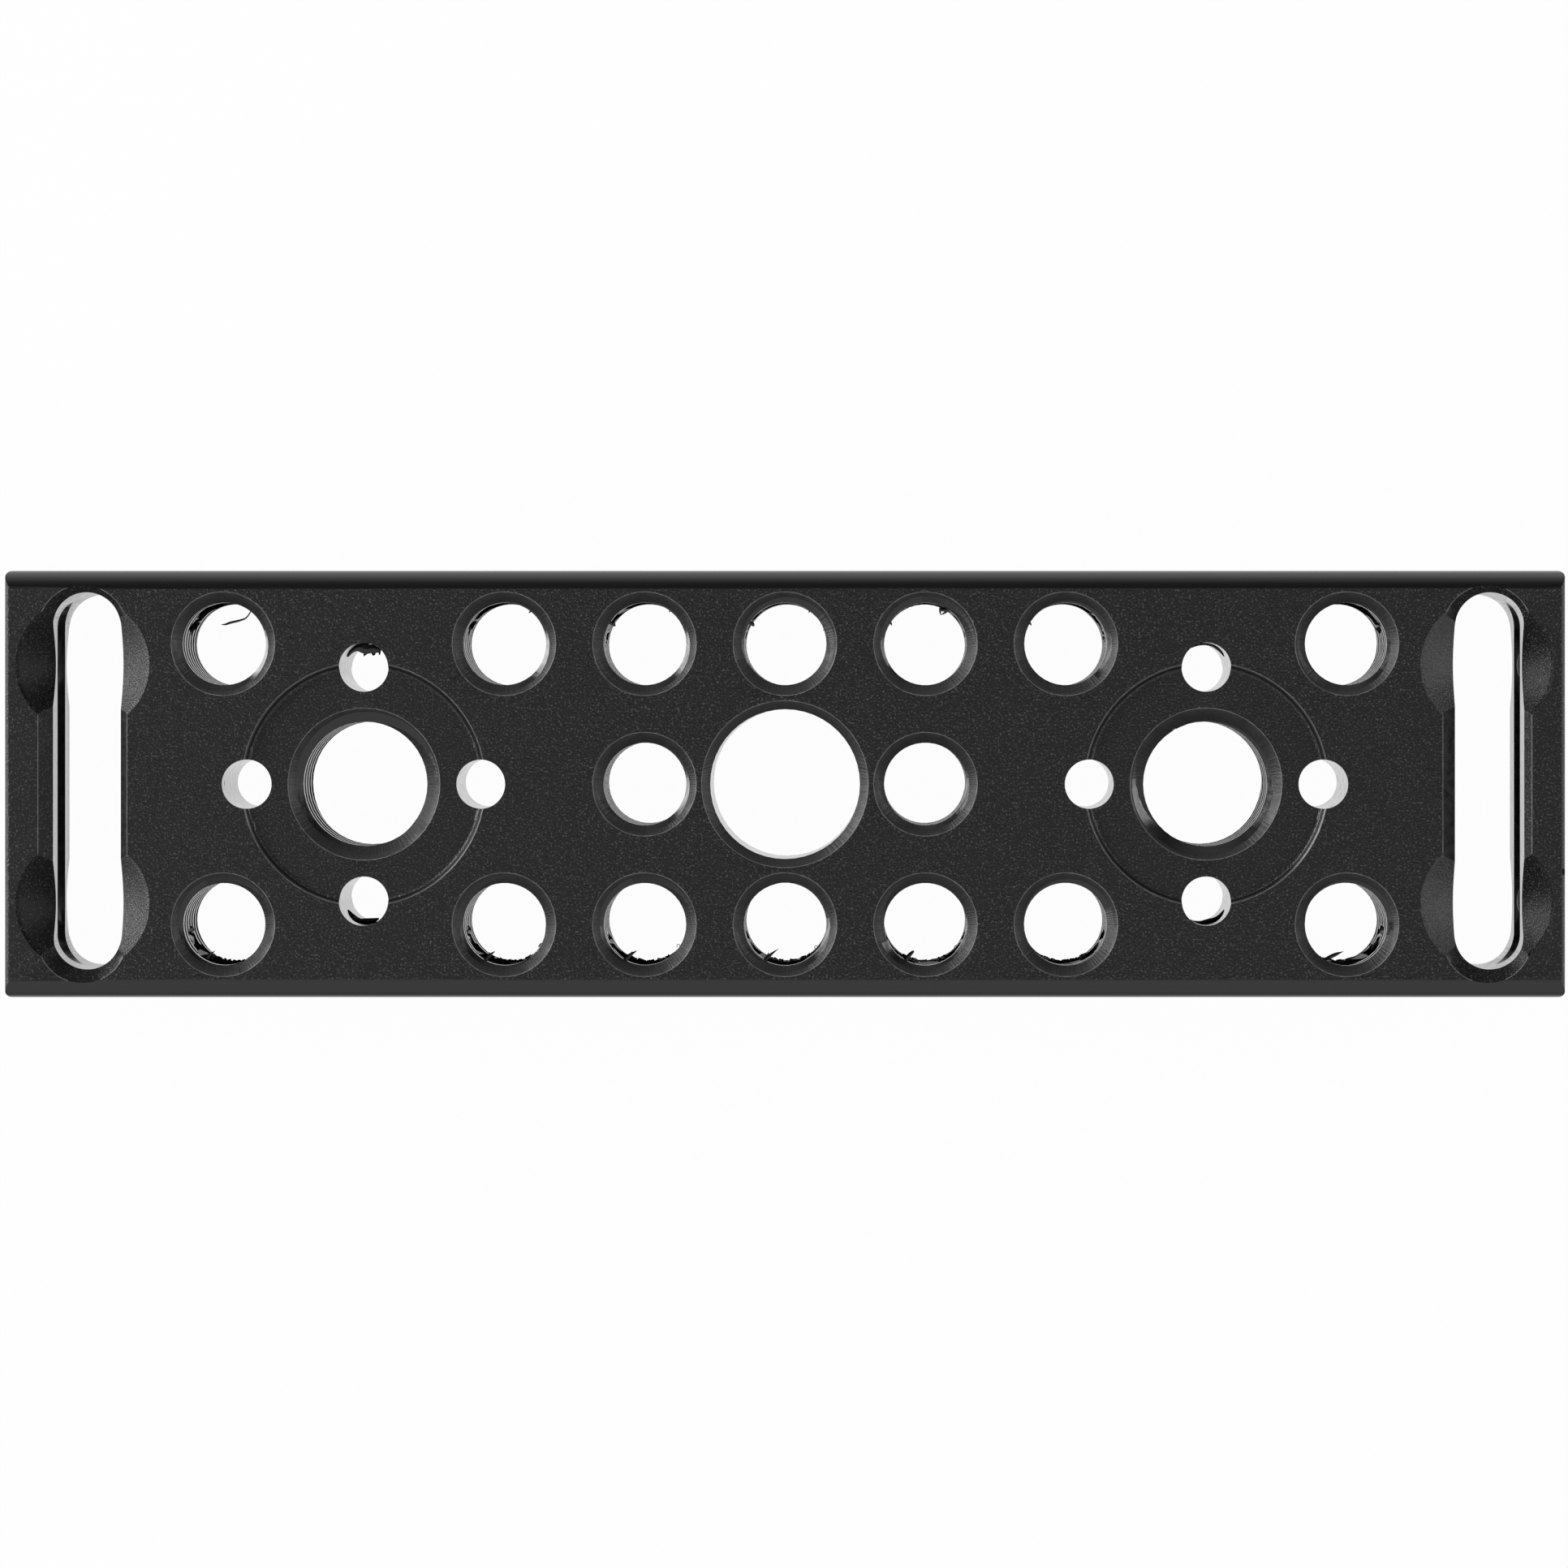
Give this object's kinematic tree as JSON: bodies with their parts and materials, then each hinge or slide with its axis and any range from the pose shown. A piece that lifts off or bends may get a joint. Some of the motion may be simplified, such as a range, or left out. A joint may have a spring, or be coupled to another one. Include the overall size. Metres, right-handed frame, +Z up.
{
  "type": "tripod riser block",
  "caption": "Flat black anodised aluminium bar with tapped holes in a grid and along its sides, larger tapped holes in turned recesses, a centre bore and slotted ends.",
  "frame": {"origin": "middle of the bottom face, in the plane that the block rests on", "axes": "+X along the bar, towards the right end of the picture; +Y across it, towards the top of the picture; +Z up through its thickness"},
  "size_m": [0.1, 0.0274, 0.0094],
  "materials": {
    "anodised_black": "bead-blasted, black anodised"
  },
  "bodies": {
    "root": {"riser_block": "anodised_black"}
  },
  "joints": []
}
